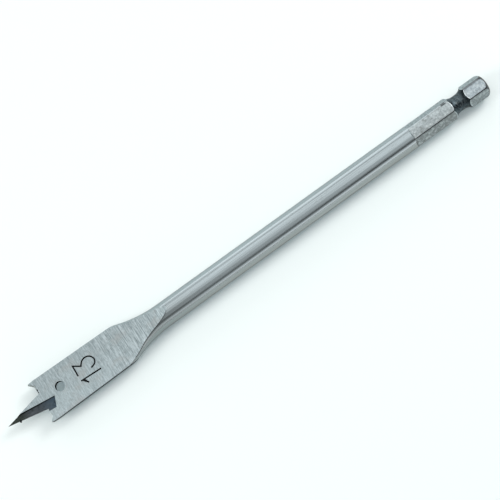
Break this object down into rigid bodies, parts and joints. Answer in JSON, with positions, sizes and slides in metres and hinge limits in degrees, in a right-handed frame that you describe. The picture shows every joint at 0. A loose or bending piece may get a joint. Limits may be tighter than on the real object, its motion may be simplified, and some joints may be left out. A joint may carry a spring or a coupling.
{
  "type": "spade drill bit",
  "caption": "Flat spade drill bit in one piece of steel: hollow-ground centre point, lips with spurs, tapered blade, round shaft and hexagonal quick-change shank.",
  "frame": {"origin": "centre of the small flat on the shank's end", "axes": "+X along the bit's axis towards the point, +Z square to the blade's faces, +Y towards the lip that leads on the upper face"},
  "size_m": [0.1666, 0.013, 0.007],
  "materials": {
    "ground_steel": "ground bright steel, with dark scale left in the shank's neck and in the hollows of the point"
  },
  "bodies": {
    "root": {"spade_bit": "ground_steel"}
  },
  "joints": []
}
